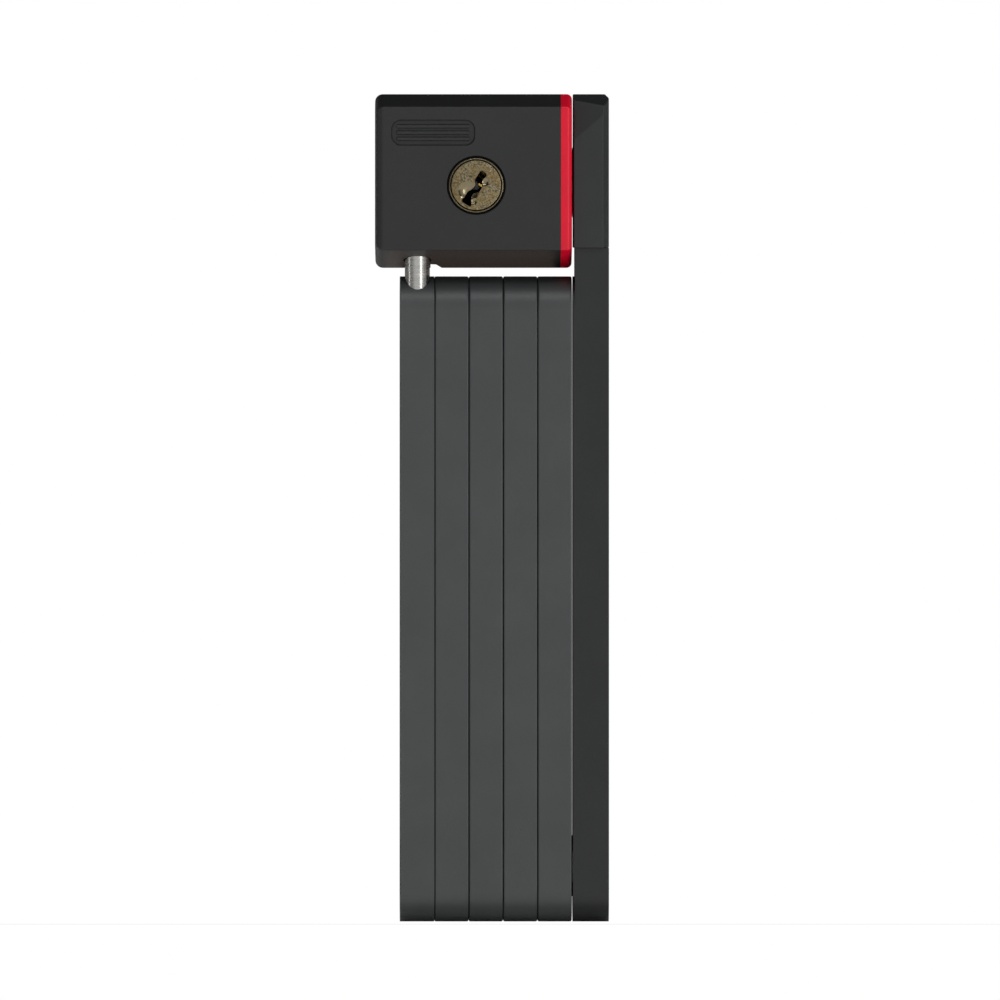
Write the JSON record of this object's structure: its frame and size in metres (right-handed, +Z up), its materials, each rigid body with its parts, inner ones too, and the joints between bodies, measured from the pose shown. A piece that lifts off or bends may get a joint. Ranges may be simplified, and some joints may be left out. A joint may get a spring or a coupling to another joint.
{
  "type": "folding bike lock",
  "caption": "Folding lock for bicycles: riveted flat steel bars in soft coating fold up beside a key-operated lock body that swivels on a steel pin.",
  "frame": {"origin": "centre of the overall box, at the lower ends of the bars", "axes": "+Z up along the folded bars, +X across the stack from the first bar to the last, -Y the side with the keyhole"},
  "size_m": [0.0522, 0.03, 0.1853],
  "materials": {
    "bar_steel": "bare hardened steel",
    "bar_coating": "soft matt grey-black coating",
    "last_bar_coating": "soft matt black coating",
    "body_plastic": "fine grained moulded plastic",
    "head_plastic": "fine grained moulded plastic",
    "red_plastic": "satin moulded plastic",
    "cylinder_brass": "nickel silver, bead blasted face",
    "inner_brass": "turned brass",
    "core_metal": "die cast, dull grey",
    "spring_steel": "bright spring wire",
    "pin_steel": "ground steel",
    "plain_steel": "zinc plated steel"
  },
  "bodies": {
    "bar_1": {"steel_bar_1": "bar_steel", "bar_sheath_1": "bar_coating", "rivet_1": "plain_steel", "rivet_washer_1": "plain_steel", "swivel_pin": "pin_steel", "swivel_ring": "spring_steel", "pin_dowel": "plain_steel"},
    "bar_2": {"steel_bar_2": "bar_steel", "bar_sheath_2": "bar_coating", "rivet_2": "plain_steel", "rivet_washer_2": "plain_steel"},
    "bar_3": {"steel_bar_3": "bar_steel", "bar_sheath_3": "bar_coating", "rivet_3": "plain_steel", "rivet_washer_3": "plain_steel"},
    "bar_4": {"steel_bar_4": "bar_steel", "bar_sheath_4": "bar_coating", "rivet_4": "plain_steel", "rivet_washer_4": "plain_steel"},
    "bar_5": {"steel_bar_5": "bar_steel", "bar_sheath_5": "bar_coating", "rivet_5": "plain_steel", "rivet_washer_5": "plain_steel"},
    "bar_6": {"steel_bar_6": "bar_steel", "bar_sheath_6": "last_bar_coating", "head_cap": "head_plastic", "locking_stud": "pin_steel"},
    "lock_body": {"body_sleeve": "body_plastic", "end_cap": "red_plastic", "cap_screw_1": "plain_steel", "cap_screw_2": "plain_steel", "cap_screw_3": "plain_steel", "lock_core": "core_metal", "core_lid": "plain_steel", "lid_screw_1": "plain_steel", "lid_screw_2": "plain_steel", "swivel_bush": "inner_brass", "cylinder_housing": "cylinder_brass", "spring_cover": "inner_brass", "driver_pin_1": "plain_steel", "driver_pin_2": "plain_steel", "driver_pin_3": "plain_steel", "driver_pin_4": "plain_steel", "driver_pin_5": "plain_steel", "pin_spring_1": "spring_steel", "pin_spring_2": "spring_steel", "pin_spring_3": "spring_steel", "pin_spring_4": "spring_steel", "pin_spring_5": "spring_steel", "latch_spring": "spring_steel"},
    "plug": {"cylinder_plug": "cylinder_brass", "cam": "plain_steel", "cam_screw": "plain_steel", "plug_clip": "spring_steel", "key_pin_1": "inner_brass", "key_pin_2": "inner_brass", "key_pin_3": "inner_brass", "key_pin_4": "inner_brass", "key_pin_5": "inner_brass"},
    "latch": {"latch": "plain_steel"}
  },
  "joints": [
    {"name": "plug_turn", "type": "hinge", "parent": "lock_body", "child": "plug", "pos_m": [-0.00367, 0, 0.1649], "axis": [0, 1, 0], "range_deg": [0, 90]},
    {"name": "latch_slide", "type": "slide", "parent": "lock_body", "child": "latch", "axis": [0, 0, 1], "range_m": [0, 0.0024], "deforming": ["latch_spring"]},
    {"name": "body_swivel", "type": "hinge", "parent": "bar_1", "child": "lock_body", "pos_m": [-0.0168, -0.0075, 0.145], "axis": [0, 0, 1], "range_deg": [0, 90]},
    {"name": "fold_1_2", "type": "hinge", "parent": "bar_1", "child": "bar_2", "pos_m": [0, 0, 0.0125], "axis": [-1, 0, 0], "range_deg": [0, 180]},
    {"name": "fold_2_3", "type": "hinge", "parent": "bar_2", "child": "bar_3", "pos_m": [0, 0, 0.132], "axis": [-1, 0, 0], "range_deg": [0, 100]},
    {"name": "fold_3_4", "type": "hinge", "parent": "bar_3", "child": "bar_4", "pos_m": [0, 0, 0.0125], "axis": [-1, 0, 0], "range_deg": [0, 180]},
    {"name": "fold_4_5", "type": "hinge", "parent": "bar_4", "child": "bar_5", "pos_m": [0, 0, 0.132], "axis": [-1, 0, 0], "range_deg": [0, 100]},
    {"name": "fold_5_6", "type": "hinge", "parent": "bar_5", "child": "bar_6", "pos_m": [0, 0, 0.0125], "axis": [-1, 0, 0], "range_deg": [0, 180]}
  ],
  "couplings": [
    {"joint": "latch_slide", "follows": "plug_turn", "m_per_rad": 0.0015279},
    {"joint": "body_swivel", "follows": "fold_5_6", "ratio": 0.5}
  ]
}
